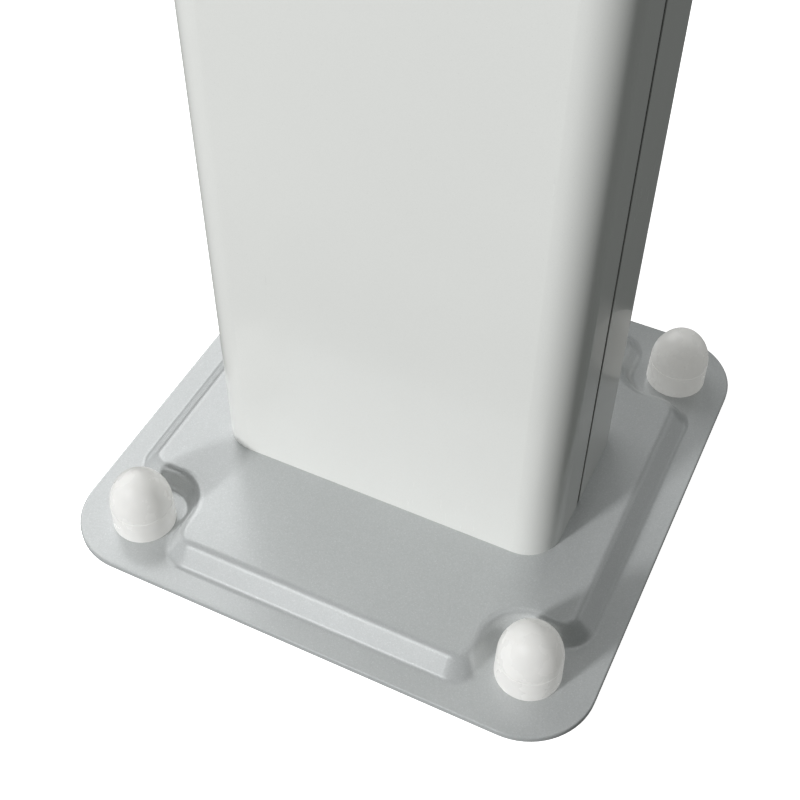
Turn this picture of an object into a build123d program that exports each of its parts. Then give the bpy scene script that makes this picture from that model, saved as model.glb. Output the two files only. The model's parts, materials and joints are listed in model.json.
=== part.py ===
from build123d import *
import os
from math import atan2, cos, degrees, radians, tan

# A shop's security gate: an antenna pedestal on a pressed steel foot. Millimetres, +Z up.
# The origin is the middle of the foot, on the floor. +X is to the right and +Y to the back.
# Pieces that face the front are drawn on Plane.XZ, so their places are given as a distance in
# front of the origin ("..._face"), then X and Z.

os.makedirs("parts", exist_ok=True)

# ---------------------------------------------------------------- driving dimensions

# Foot plate, pressed from one sheet
plate_width = 262.0
plate_corner_radius = 32.5
plate_thickness = 3.0
plateau_height = 11.7
plateau_reach = 110.0
plateau_shoulder = 75.5
slope_run = 8.6
pocket_run = 5.2
tip_radius = 9.0
root_radius = 18.0
crest_softness = 6.0
foot_softness = 4.0
rim_softness = 0.8
anchor_spacing = 200.0
anchor_hole_radius = 6.0

# Caps over the floor anchors
cap_base_radius = 15.1
cap_neck_radius = 14.8
cap_straight = 13.6
cap_height = 31.9
cap_top_radius = 12.8
cap_wall = 2.0
cap_rim_softness = 0.6
cap_groove = 0.25
cap_shifts = {
    "front_left": (1.9, -1.5),
    "front_right": (-0.7, 1.9),
    "rear_left": (0.0, 0.0),
    "rear_right": (2.8, 0.5),
}

# Column and its two covers
column_width = 175.6
column_depth = 96.2
column_radius = 17.3
column_top = 1449.0
cover_wall = 2.5
seam_front = 8.0
seam_gap = 2.6
seam_edge_radius = 0.5
tongue_gap = 0.3
tongue_wall = 1.8
tongue_length = 8.0
tongue_root = 5.0
seal_clearance = 0.2
seal_recess = 0.4
rib_spacing = 80.0
rib_width = 2.0
rib_depth = 3.0

# Cable entry
cable_radius = 10.0
grommet_hole_radius = 16.0
grommet_lip = 2.5
grommet_top = 3.0
grommet_bottom = 2.0

# Mast, a hat section welded to its own foot
mast_width = 65.0
mast_sheet = 2.5
mast_back = 26.5
mast_face = 13.5
mast_lip_reach = 52.0
mast_foot_width = 120.0
mast_foot_depth = 70.0
mast_foot_thickness = 4.0
mast_bolt_spacing_x = 94.0
mast_bolt_spacing_y = 50.0
mast_bolt_radius = 4.0
mast_bolt_clearance = 0.5
mast_bolt_flats = 13.0
mast_bolt_head = 5.3
mast_nut_height = 7.0
bolt_flange_radius = 8.0
bolt_flange = 1.6

# Brackets between the mast and the rear cover
bracket_floor_gap = 88.3
bracket_top_gap = 46.0
bracket_tall = 30.0
bracket_sheet = 2.0
bracket_pad = 80.0
bracket_corner_gap = 2.5
bracket_screw_spacing = 36.0

# Screws
screw_radius = 2.0
screw_clearance = 0.2
small_screw_radius = 1.5

# Antennas
antenna_side_gap = 8.2
antenna_floor_gap = 25.0
antenna_between = 30.0
antenna_top_gap = 41.0
former_radius = 20.0
former_bar = 14.0
former_depth = 12.0
groove_width = 7.0
groove_depth = 5.0
coil_clearance = 0.2
pillar_radius = 5.0
pillar_length = 12.5
lip_screw_spacing = 84.0

# Controller tray and board
tray_bottom = 90.0
tray_top = 430.0
tray_sheet = 1.5
standoff_length = 6.0
standoff_radius = 3.0
board_margin = 10.0
board_bottom = 272.0
board_top = 422.0
board_thickness = 1.6
board_screw_inset = 7.0
knob_row = 296.0
knob_places = {"sensitivity_knob": -45.0, "tuning_knob": -20.0, "volume_knob": 5.0}
knob_radius = 5.5
knob_length = 7.0
knob_shaft_radius = 2.0
running_clearance = 0.06
trimmer_size = 12.0
trimmer_depth = 6.0
reset_x = 42.0
reset_button_radius = 4.0
reset_stroke = 1.5

# Transformer
transformer_x = -22.0
transformer_z = 226.0
transformer_radius = 36.0
transformer_core = 12.0
transformer_depth = 20.4
transformer_bolt_radius = 3.0

# Mains bracket with the rocker switch and the fuse
mains_bracket_x = 8.0
mains_bracket_width = 52.0
mains_bracket_bottom = 110.0
mains_bracket_top = 176.0
mains_face = 36.4
rocker_x = -2.0
rocker_z = 143.0
rocker_width = 10.0
rocker_height = 18.0
rocker_tilt = 10.0
switch_wall = 2.5
fuse_x = 22.0
fuse_z = 143.0
fuse_body_radius = 6.0

# Lamp head
top_plate_sheet = 2.0
top_plate_gap = 1.0
top_plate_drop = 1.0
shadow_gap = 1.0
lens_height = 32.0
lens_wall = 3.0
top_cap_height = 20.0
cap_edge_radius = 9.0
cap_skirt = 6.0
fit_gap = 0.3
lamp_board_margin = 20.0
lamp_board_screw_inset = 6.0
lead_hole_radius = 5.0
lead_hole_y = 14.0

# Leads
lead_radius = 1.8
lower_lead_x = -44.0
upper_lead_x = -24.0
lamp_lead_x = 0.0
supply_x = 12.0
connector_top = 415.0
lead_face = 26.6
lamp_lead_y = 19.0
upper_lead_y = 12.0
clip_width = 8.0
clip_height = 8.0
clip_count = 6
clip_end_gap = 110.0

# ---------------------------------------------------------------- sizes worked out from them

mast_top = column_top - top_plate_drop - top_plate_sheet
lens_bottom = column_top + shadow_gap
lens_top = lens_bottom + lens_height
cap_top = lens_top + top_cap_height
inner_half = column_width / 2 - cover_wall - tongue_gap - tongue_wall
former_width = 2 * (inner_half - antenna_side_gap)
former_height = (
    mast_top - antenna_top_gap - antenna_between - antenna_floor_gap - tray_top
) / 2
antenna_bottoms = {
    "lower": tray_top + antenna_floor_gap,
    "upper": tray_top + antenna_floor_gap + former_height + antenna_between,
}
tray_width = former_width
board_width = tray_width - 2 * board_margin
bracket_low = plateau_height + bracket_floor_gap + bracket_tall / 2
bracket_high = mast_top - bracket_top_gap - bracket_tall / 2
bracket_heights = {
    "lower": bracket_low,
    "middle": (bracket_low + bracket_high) / 2,
    "upper": bracket_high,
}
bracket_reach = column_width / 2 - column_radius - bracket_corner_gap
cover_screw_spacing = bracket_reach + bracket_pad / 2 + bracket_sheet
lamp_board_width = column_width - 2 * lamp_board_margin
lamp_board_depth = column_depth - 2 * lamp_board_margin
anchor_reach = anchor_spacing / 2
column_front = column_depth / 2
cover_inner = column_front - cover_wall
mast_floor = plateau_height + mast_foot_thickness
tray_face = mast_face + tray_sheet
board_back = tray_face + standoff_length
board_face = board_back + board_thickness
former_back = mast_face + pillar_length
former_face = former_back + former_depth
board_middle = (board_bottom + board_top) / 2
tray_middle = (tray_bottom + tray_top) / 2
top_plate_floor = mast_top + top_plate_sheet
lamp_board_floor = top_plate_floor + standoff_length
lamp_board_holes = (
    lamp_board_width - 2 * lamp_board_screw_inset,
    lamp_board_depth - 2 * lamp_board_screw_inset,
)
mast_bolt_places = [
    (x * mast_bolt_spacing_x / 2, y * mast_bolt_spacing_y / 2) for x in (-1, 1) for y in (-1, 1)
]


# ---------------------------------------------------------------- shared helpers


def finish(piece, name):
    """Label a finished piece and write it to its own file."""
    piece.part.label = name
    export_step(piece.part, f"parts/{name}.step")


def block(x, y, z, width, depth, height):
    """Add a box to the open part, with (x, y, z) as the middle of its lower face."""
    with Locations((x, y, z)):
        Box(width, depth, height, align=(Align.CENTER, Align.CENTER, Align.MIN))


def pad(face, x, z, width, height, depth, mode=Mode.ADD):
    """Add or cut a box that stands forward from a plane `face` in front of the origin."""
    with BuildSketch(Plane.XZ.offset(face)) as profile:
        with Locations((x, z)):
            Rectangle(width, height)
    extrude(profile.sketch, amount=depth, mode=mode)


def disc(face, places, radius, depth, mode=Mode.ADD):
    """Add or cut round pieces that stand forward from a plane `face` in front of the origin."""
    with BuildSketch(Plane.XZ.offset(face)) as profile:
        with Locations(*places):
            Circle(radius)
    extrude(profile.sketch, amount=depth, mode=mode)


def front_screws(name, places, face, length, radius):
    """Make cross-head screws with their heads on `face` and their shanks to the back."""
    head = 1.2 * radius
    with BuildPart() as screws:
        disc(face, places, 2 * radius, head)
        fillet(screws.edges().group_by(Axis.Y)[0], 0.4 * head)
        disc(face, places, radius, -length)
        with BuildSketch(Plane.XZ.offset(face + head)):
            with Locations(*places):
                Rectangle(2.2 * radius, 0.4 * radius)
                Rectangle(0.4 * radius, 2.2 * radius)
        extrude(amount=-0.6 * head, mode=Mode.SUBTRACT)
    finish(screws, name)


def pairs(spacing, heights):
    """List places left and right of the middle, at each height."""
    return [(x * spacing / 2, z) for z in heights for x in (-1, 1)]


def draw_outline(inset):
    """Draw the column's outline in the open sketch, moved inwards by `inset`."""
    width = column_width - 2 * inset
    depth = column_depth - 2 * inset
    RectangleRounded(width, depth, column_radius - inset)


def draw_band(outer_inset, inner_inset, front, back):
    """Draw the column's wall in the open sketch, between two Y places."""
    with BuildSketch(mode=Mode.PRIVATE) as band:
        draw_outline(outer_inset)
        with BuildSketch(mode=Mode.SUBTRACT):
            draw_outline(inner_inset)
        with Locations((0, (front + back) / 2)):
            Rectangle(column_width, back - front, mode=Mode.INTERSECT)
    add(band.sketch)


# ---------------------------------------------------------------- foot


def draw_cross(reach, shoulder, tip, root):
    """Draw a square with a pocket at each corner in the open sketch."""
    Rectangle(2 * reach, 2 * shoulder)
    Rectangle(2 * shoulder, 2 * reach)
    fillet(vertices().sort_by(SortBy.DISTANCE)[:4], root)
    fillet(vertices().sort_by(SortBy.DISTANCE)[-8:], tip)


def plateau(floor, ceiling, slope_inset, pocket_inset, mode):
    """Add or cut the raised middle of the foot, with sloping sides, between two heights."""
    with BuildSketch(Plane.XY.offset(floor)) as foot_outline:
        draw_cross(
            plateau_reach + slope_run - slope_inset,
            plateau_shoulder + pocket_run - pocket_inset,
            tip_radius + pocket_run - pocket_inset,
            root_radius - pocket_run + pocket_inset,
        )
    with BuildSketch(Plane.XY.offset(ceiling)) as top_outline:
        draw_cross(
            plateau_reach - slope_inset,
            plateau_shoulder - pocket_inset,
            tip_radius - pocket_inset,
            root_radius + pocket_inset,
        )
    loft([foot_outline.sketch, top_outline.sketch], ruled=True, mode=mode)


def pressed_edges(piece, height):
    """Return the edges where the raised middle meets the flat rim at one height."""
    limit = plateau_reach + slope_run + 0.1
    level = piece.edges().filter_by_position(Axis.Z, height, height)
    return [
        edge for edge in level
        if abs(edge.center().X) < limit and abs(edge.center().Y) < limit
    ]


def make_base_plate():
    """Press the foot from one sheet: flat rim, raised plateau, hollow underneath."""
    rise = plateau_height - plate_thickness
    slope_inset = plate_thickness * tan(atan2(rise, slope_run) / 2)
    pocket_inset = plate_thickness * tan(atan2(rise, pocket_run) / 2)
    with BuildPart() as base_plate:
        with BuildSketch():
            RectangleRounded(plate_width, plate_width, plate_corner_radius)
        extrude(amount=plate_thickness)
        fillet(base_plate.edges().group_by(Axis.Z)[-1], rim_softness)
        plateau(plate_thickness, plateau_height, 0, 0, Mode.ADD)
        fillet(base_plate.edges().group_by(Axis.Z)[-1], crest_softness)
        fillet(pressed_edges(base_plate, plate_thickness), foot_softness)
        with BuildPart(mode=Mode.PRIVATE) as hollow:
            plateau(0, rise, slope_inset, pocket_inset, Mode.ADD)
            fillet(hollow.edges().group_by(Axis.Z)[-1], crest_softness - plate_thickness)
        add(hollow.part, mode=Mode.SUBTRACT)
        fillet(pressed_edges(base_plate, 0), foot_softness + plate_thickness)
        with GridLocations(anchor_spacing, anchor_spacing, 2, 2):
            Hole(anchor_hole_radius)
        with Locations(*mast_bolt_places):
            Hole(mast_bolt_radius + mast_bolt_clearance)
        Hole(grommet_hole_radius)
    finish(base_plate, "base_plate")


def make_grommet():
    """Line the cable hole with a grooved rubber ring."""
    sheet_floor = plateau_height - plate_thickness
    lip_radius = grommet_hole_radius + grommet_lip
    with BuildPart() as grommet:
        with BuildSketch(Plane.XY.offset(sheet_floor - grommet_bottom)):
            Circle(lip_radius)
        extrude(amount=grommet_bottom)
        with BuildSketch(Plane.XY.offset(sheet_floor)):
            Circle(grommet_hole_radius - 0.1)
        extrude(amount=plate_thickness)
        with BuildSketch(Plane.XY.offset(plateau_height)):
            Circle(lip_radius)
        extrude(amount=grommet_top)
        with BuildSketch(Plane.XY.offset(sheet_floor - grommet_bottom)):
            Circle(cable_radius)
        extrude(amount=grommet_bottom + plate_thickness + grommet_top, mode=Mode.SUBTRACT)
    finish(grommet, "cable_grommet")


def make_anchor_caps():
    """Make the hollow domes that stand on the rim over the floor anchors, one at each corner."""
    dome = cap_height - cap_straight
    side_radius = (cap_neck_radius**2 + dome**2 - 2 * dome * cap_top_radius) / (
        2 * (cap_neck_radius - cap_top_radius)
    )
    turn = atan2(dome - cap_top_radius, side_radius - cap_neck_radius)
    with BuildPart() as pattern:
        for inset, mode in ((0, Mode.ADD), (cap_wall, Mode.SUBTRACT)):
            with BuildSketch(Plane.XZ):
                with BuildLine():
                    Line((0, 0), (cap_base_radius - inset, 0))
                    Line((cap_base_radius - inset, 0), (cap_neck_radius - inset, cap_straight))
                    CenterArc((cap_neck_radius - side_radius, cap_straight),
                              side_radius - inset, 0, degrees(turn))
                    CenterArc((0, cap_height - cap_top_radius), cap_top_radius - inset,
                              degrees(turn), 90 - degrees(turn))
                    Line((0, cap_height - inset), (0, 0))
                make_face()
                if mode == Mode.ADD:
                    fillet(vertices().sort_by(Axis.X)[-1], cap_rim_softness)
            revolve(axis=Axis.Z, mode=mode)
        with BuildSketch(Plane.XZ):
            with Locations((cap_neck_radius, cap_straight)):
                Circle(cap_groove)
        revolve(axis=Axis.Z, mode=Mode.SUBTRACT)
    for depth_word, y in (("front", -anchor_reach), ("rear", anchor_reach)):
        for side_word, x in (("left", -anchor_reach), ("right", anchor_reach)):
            with BuildPart() as cap:
                shift_x, shift_y = cap_shifts[f"{depth_word}_{side_word}"]
                with Locations((x + shift_x, y + shift_y, plate_thickness)):
                    add(pattern.part)
            finish(cap, f"anchor_cap_{depth_word}_{side_word}")


# ---------------------------------------------------------------- mast and brackets


def make_mast():
    """Make the hat-section upright with its welded foot."""
    wall_x = (mast_width - mast_sheet) / 2
    lip_width = mast_lip_reach - mast_width / 2
    lip_x = (mast_lip_reach + mast_width / 2) / 2
    lip_places = pairs(lip_screw_spacing, [tray_bottom + 15, tray_top - 15])
    for bottom in antenna_bottoms.values():
        ends = [bottom + former_bar / 2, bottom + former_height - former_bar / 2]
        lip_places += pairs(lip_screw_spacing, ends)
    back_places = pairs(bracket_screw_spacing, bracket_heights.values())
    back_places += pairs(bracket_screw_spacing, [mast_top - 14])
    with BuildPart() as mast:
        with BuildSketch(Plane.XY.offset(plateau_height)):
            RectangleRounded(mast_foot_width, mast_foot_depth, 8)
            Circle(grommet_hole_radius + grommet_lip + 0.5, mode=Mode.SUBTRACT)
            with Locations(*mast_bolt_places):
                Circle(mast_bolt_radius + mast_bolt_clearance, mode=Mode.SUBTRACT)
        extrude(amount=mast_foot_thickness)
        with BuildSketch(Plane.XY.offset(mast_floor)):
            with Locations((0, mast_back - mast_sheet / 2)):
                Rectangle(mast_width, mast_sheet)
            for side in (-1, 1):
                with Locations((side * wall_x, (mast_back - mast_face) / 2)):
                    Rectangle(mast_sheet, mast_back + mast_face)
                with Locations((side * lip_x, mast_sheet / 2 - mast_face)):
                    Rectangle(lip_width, mast_sheet)
        extrude(amount=mast_top - mast_floor)
        disc(mast_face, lip_places, screw_radius + screw_clearance, -mast_sheet, Mode.SUBTRACT)
        disc(mast_sheet - mast_back, back_places, screw_radius + screw_clearance,
             -2 * mast_sheet, Mode.SUBTRACT)
    finish(mast, "mast")


def make_mast_fasteners():
    """Make the flanged bolts that come up through the plateau, and their flanged nuts."""
    sheet_floor = plateau_height - plate_thickness
    with BuildPart() as bolts:
        with BuildSketch(Plane.XY.offset(sheet_floor)):
            with Locations(*mast_bolt_places):
                Circle(bolt_flange_radius)
        extrude(amount=-bolt_flange)
        with BuildSketch(Plane.XY.offset(sheet_floor - bolt_flange)):
            with Locations(*mast_bolt_places):
                RegularPolygon(mast_bolt_flats / 2, 6, major_radius=False)
        extrude(amount=-mast_bolt_head)
        with BuildSketch(Plane.XY.offset(sheet_floor)):
            with Locations(*mast_bolt_places):
                Circle(mast_bolt_radius)
        shank = plate_thickness + mast_foot_thickness + bolt_flange + mast_nut_height + 3
        extrude(amount=shank)
        chamfer(bolts.edges().group_by(Axis.Z)[-1], 0.8)
    finish(bolts, "mast_bolts")
    with BuildPart() as nuts:
        with BuildSketch(Plane.XY.offset(mast_floor)):
            with Locations(*mast_bolt_places):
                Circle(bolt_flange_radius)
        extrude(amount=bolt_flange)
        with BuildSketch(Plane.XY.offset(mast_floor + bolt_flange)):
            with Locations(*mast_bolt_places):
                RegularPolygon(mast_bolt_flats / 2, 6, major_radius=False)
        extrude(amount=mast_nut_height)
        chamfer(nuts.edges().group_by(Axis.Z)[-1], 0.6)
        with BuildSketch(Plane.XY.offset(mast_floor)):
            with Locations(*mast_bolt_places):
                Circle(mast_bolt_radius + running_clearance)
        extrude(amount=bolt_flange + mast_nut_height, mode=Mode.SUBTRACT)
    finish(nuts, "mast_nuts")


def make_bracket(name, height):
    """Make a hat-shaped bracket from the back of the mast to the rear cover."""
    leg_x = (bracket_pad - bracket_sheet) / 2
    foot_x = (bracket_reach + bracket_pad / 2 - bracket_sheet) / 2
    foot_width = bracket_reach - bracket_pad / 2 + bracket_sheet
    with BuildPart() as bracket:
        with BuildSketch(Plane.XY.offset(height - bracket_tall / 2)):
            with Locations((0, mast_back + bracket_sheet / 2)):
                Rectangle(bracket_pad, bracket_sheet)
            for side in (-1, 1):
                with Locations((side * leg_x, (mast_back + cover_inner) / 2)):
                    Rectangle(bracket_sheet, cover_inner - mast_back)
                with Locations((side * foot_x, cover_inner - bracket_sheet / 2)):
                    Rectangle(foot_width, bracket_sheet)
        extrude(amount=bracket_tall)
        disc(-mast_back, pairs(bracket_screw_spacing, [height]), screw_radius + screw_clearance,
             -bracket_sheet, Mode.SUBTRACT)
        disc(-cover_inner, pairs(cover_screw_spacing, [height]), screw_radius + screw_clearance,
             bracket_sheet, Mode.SUBTRACT)
    finish(bracket, f"{name}_bracket")


# ---------------------------------------------------------------- covers


def outer_seam_edges(cover, place):
    """Return the two upright edges of a cover on the column's outside, beside the seam."""
    upright = cover.edges().filter_by(Axis.Z).filter_by(
        lambda edge: abs(edge.center().Y - place) < 0.01
    )
    return upright.group_by(Axis.X)[0] + upright.group_by(Axis.X)[-1]


def make_covers():
    """Make the front and rear covers, the rear one with a tongue behind the seam."""
    front_edge = -seam_front - seam_gap / 2
    rear_edge = -seam_front + seam_gap / 2
    tongue_outer = cover_wall + tongue_gap
    tongue_inner = tongue_outer + tongue_wall
    cover_height = column_top - plateau_height
    tongue_height = mast_top - top_plate_gap - plateau_height
    with BuildPart() as front_cover:
        with BuildSketch(Plane.XY.offset(plateau_height)):
            draw_band(0, cover_wall, -column_front, front_edge)
        extrude(amount=cover_height)
        with BuildSketch(Plane.XY.offset(plateau_height)):
            with Locations((0, rib_depth / 2 - cover_inner)):
                with GridLocations(rib_spacing, 1, 2, 1):
                    Rectangle(rib_width, rib_depth)
        extrude(amount=tongue_height)
        fillet(outer_seam_edges(front_cover, front_edge), seam_edge_radius)
    finish(front_cover, "front_cover")
    with BuildPart() as rear_cover:
        with BuildSketch(Plane.XY.offset(plateau_height)):
            draw_band(0, cover_wall, rear_edge, column_front)
        extrude(amount=cover_height)
        fillet(outer_seam_edges(rear_cover, rear_edge), seam_edge_radius)
        with BuildSketch(Plane.XY.offset(plateau_height)):
            draw_band(0, tongue_inner, rear_edge, rear_edge + tongue_root)
            draw_band(tongue_outer, tongue_inner, rear_edge - tongue_length, rear_edge)
        extrude(amount=tongue_height)
        for height in bracket_heights.values():
            for side in (-1, 1):
                place = (side * cover_screw_spacing / 2, column_front, height)
                with Locations(Location(place, (-90, 0, 0))):
                    CounterSinkHole(screw_radius + screw_clearance, 2 * screw_radius + 0.1,
                                    depth=2 * cover_wall)
    finish(rear_cover, "rear_cover")
    with BuildPart() as seals:
        with BuildSketch(Plane.XY.offset(plateau_height)):
            draw_band(seal_recess, tongue_outer, front_edge + seal_clearance, rear_edge)
        extrude(amount=cover_height)
    finish(seals, "seam_seals")


def make_cover_screws():
    """Make the countersunk screws that hold the rear cover to its brackets."""
    cone = screw_radius
    with BuildPart() as screws:
        for height in bracket_heights.values():
            for side in (-1, 1):
                place = (side * cover_screw_spacing / 2, column_front, height)
                with Locations(Location(place, (90, 0, 0))):
                    Cone(2 * screw_radius, screw_radius, cone,
                         align=(Align.CENTER, Align.CENTER, Align.MIN))
                    Cylinder(screw_radius, cover_wall + bracket_sheet + 3,
                             align=(Align.CENTER, Align.CENTER, Align.MIN))
        with BuildSketch(Plane.XZ.offset(-column_front)):
            with Locations(*pairs(cover_screw_spacing, bracket_heights.values())):
                Rectangle(2.2 * screw_radius, 0.4 * screw_radius)
                Rectangle(0.4 * screw_radius, 2.2 * screw_radius)
        extrude(amount=0.5 * cone, mode=Mode.SUBTRACT)
    finish(screws, "rear_cover_screws")


# ---------------------------------------------------------------- antennas


def draw_frame(middle, width, height, radius, inner_width, inner_height, inner_radius):
    """Draw an upright rounded frame in the open sketch."""
    with Locations((0, middle)):
        RectangleRounded(width, height, radius)
        RectangleRounded(inner_width, inner_height, inner_radius, mode=Mode.SUBTRACT)


def make_antenna(name, bottom):
    """Make one antenna: a grooved former and the coil wound in its groove."""
    middle = bottom + former_height / 2
    ends = [bottom + former_bar / 2, bottom + former_height - former_bar / 2]
    core_width = former_width - 2 * groove_depth
    core_height = former_height - 2 * groove_depth
    core_radius = former_radius - groove_depth
    groove_back = former_back + (former_depth - groove_width) / 2
    with BuildPart() as former:
        with BuildSketch(Plane.XZ.offset(former_back)):
            draw_frame(middle, former_width, former_height, former_radius,
                       former_width - 2 * former_bar, former_height - 2 * former_bar,
                       former_radius - former_bar)
        extrude(amount=former_depth)
        with BuildSketch(Plane.XZ.offset(groove_back)):
            draw_frame(middle, former_width + 2, former_height + 2, former_radius + 1,
                       core_width, core_height, core_radius)
        extrude(amount=groove_width, mode=Mode.SUBTRACT)
        disc(former_back, pairs(lip_screw_spacing, ends), screw_radius + screw_clearance,
             former_depth, Mode.SUBTRACT)
    finish(former, f"{name}_antenna_former")
    with BuildPart() as coil:
        with BuildSketch(Plane.XZ.offset(groove_back + coil_clearance)):
            draw_frame(middle, former_width - 2, former_height - 2, former_radius - 1,
                       core_width + 2 * coil_clearance, core_height + 2 * coil_clearance,
                       core_radius + coil_clearance)
        extrude(amount=groove_width - 2 * coil_clearance)
    finish(coil, f"{name}_antenna_coil")


def make_antenna_fixings():
    """Make the pillars between the mast's lips and the formers, and their long screws."""
    heights = []
    for bottom in antenna_bottoms.values():
        heights += [bottom + former_bar / 2, bottom + former_height - former_bar / 2]
    places = pairs(lip_screw_spacing, heights)
    with BuildPart() as pillars:
        disc(mast_face, places, pillar_radius, pillar_length)
        disc(mast_face, places, screw_radius + screw_clearance, pillar_length, Mode.SUBTRACT)
    finish(pillars, "antenna_pillars")
    front_screws("antenna_screws", places, former_face,
                 former_depth + pillar_length + mast_sheet + 1.5, screw_radius)


# ---------------------------------------------------------------- controller


def make_tray():
    """Make the tray that carries the controller and the mains parts."""
    board_x = board_width / 2 - board_screw_inset
    board_ends = [board_bottom + board_screw_inset, board_top - board_screw_inset]
    tray_places = pairs(lip_screw_spacing, [tray_bottom + 15, tray_top - 15])
    with BuildPart() as tray:
        pad(mast_face, 0, tray_middle, tray_width, tray_top - tray_bottom, tray_sheet)
        fillet(tray.edges().filter_by(Axis.Y), 6)
        for side in (-1, 1):
            pad(tray_face, side * (tray_width - tray_sheet) / 2, tray_middle, tray_sheet,
                tray_top - tray_bottom - 12, 5)
        disc(mast_face, tray_places, screw_radius + screw_clearance, tray_sheet, Mode.SUBTRACT)
        disc(mast_face, [(transformer_x, transformer_z)], 2 * transformer_bolt_radius, -4)
        disc(mast_face - 4, [(transformer_x, transformer_z)], transformer_bolt_radius + 0.1,
             tray_sheet + 4, Mode.SUBTRACT)
    finish(tray, "controller_tray")
    places = pairs(2 * board_x, board_ends)
    with BuildPart() as board:
        pad(board_back, 0, board_middle, board_width, board_top - board_bottom, board_thickness)
        fillet(board.edges().filter_by(Axis.Y), 3)
        disc(board_back, places, small_screw_radius + 0.1, board_thickness, Mode.SUBTRACT)
    finish(board, "controller_board")
    front_screws("board_screws", places, board_face, board_thickness + 4, small_screw_radius)


def make_standoffs():
    """Make the standoffs under the controller board and the lamp board."""
    board_x = board_width / 2 - board_screw_inset
    board_ends = [board_bottom + board_screw_inset, board_top - board_screw_inset]
    places = pairs(2 * board_x, board_ends)
    with BuildPart() as standoffs:
        disc(tray_face, places, standoff_radius, standoff_length)
        disc(tray_face, places, small_screw_radius + 0.1, standoff_length, Mode.SUBTRACT)
        with BuildSketch(Plane.XY.offset(top_plate_floor)):
            with GridLocations(*lamp_board_holes, 2, 2):
                Circle(standoff_radius)
                Circle(small_screw_radius + 0.1, mode=Mode.SUBTRACT)
        extrude(amount=standoff_length)
    finish(standoffs, "board_standoffs")


def make_board_parts():
    """Make what is soldered to the controller board and does not move: chips, a relay and so on."""
    with BuildPart() as chips:
        pad(board_face, -30, 335, 18, 18, 2)
        pad(board_face, 5, 322, 12, 16, 2)
        pad(board_face, -5, 345, 9, 7, 2)
        pad(board_face, 50, 330, 9, 14, 2)
        pad(board_face, 48, 386, 16, 28, 14)
    finish(chips, "board_chips")
    places = [(24, 356), (42, 356), (24, 376)]
    with BuildPart() as capacitors:
        disc(board_face, places, 6, 13)
        fillet(capacitors.edges().group_by(Axis.Y)[0], 0.8)
    finish(capacitors, "board_capacitors")
    with BuildPart() as connectors:
        for x in (lower_lead_x, upper_lead_x, lamp_lead_x):
            pad(board_face, x, connector_top - 5, 13, 10, 8)
        pad(board_face, supply_x, board_bottom + 9, 13, 10, 8)
    finish(connectors, "board_connectors")
    with BuildPart() as heatsink:
        pad(board_face, -35, 378, 48, 40, 3)
        for step in range(9):
            pad(board_face + 3, -35 + (step - 4) * 5.8, 378, 1.4, 40, 10)
    finish(heatsink, "heatsink")
    with BuildPart() as lamps:
        for x in (22, 30, 38):
            pad(board_face, x, 322, 4, 4, 1)
            disc(board_face + 1, [(x, 322)], 1.5, 4)
        fillet(lamps.edges().group_by(Axis.Y)[0], 1.2)
    finish(lamps, "status_lamps")


def make_trimmers():
    """Make the three trimmers: fixed bodies, and knobs that turn in them."""
    body_face = board_face + trimmer_depth
    bore = knob_shaft_radius + running_clearance
    with BuildPart() as bodies:
        for x in knob_places.values():
            pad(board_face, x, knob_row, trimmer_size, trimmer_size, trimmer_depth)
            disc(board_face + 1, [(x, knob_row)], bore, trimmer_depth, Mode.SUBTRACT)
    finish(bodies, "trimmer_bodies")
    for name, x in knob_places.items():
        with BuildPart() as knob:
            disc(body_face + 0.5, [(x, knob_row)], knob_radius, knob_length)
            fillet(knob.edges().group_by(Axis.Y)[0], 1)
            disc(board_face + 1.5, [(x, knob_row)], knob_shaft_radius, trimmer_depth - 1)
            front = body_face + 0.5 + knob_length
            pad(front - 1.2, x, knob_row + knob_radius / 2, 1.2, knob_radius, 2, Mode.SUBTRACT)
        finish(knob, name)


def make_reset_switch():
    """Make the push switch: a fixed body and a sprung button."""
    body_depth = 6.0
    bore = 2.5
    with BuildPart() as body:
        pad(board_face, reset_x, knob_row, 12, 12, body_depth)
        disc(board_face + 1.5, [(reset_x, knob_row)], bore, body_depth, Mode.SUBTRACT)
    finish(body, "reset_switch")
    cap_back = board_face + body_depth + reset_stroke + 0.3
    with BuildPart() as button:
        disc(cap_back, [(reset_x, knob_row)], reset_button_radius, 4)
        fillet(button.edges().group_by(Axis.Y)[0], 0.8)
        stem_back = board_face + 1.5 + reset_stroke + 0.3
        disc(stem_back, [(reset_x, knob_row)], bore - running_clearance, cap_back - stem_back)
    finish(button, "reset_button")


# ---------------------------------------------------------------- mains parts


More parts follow.
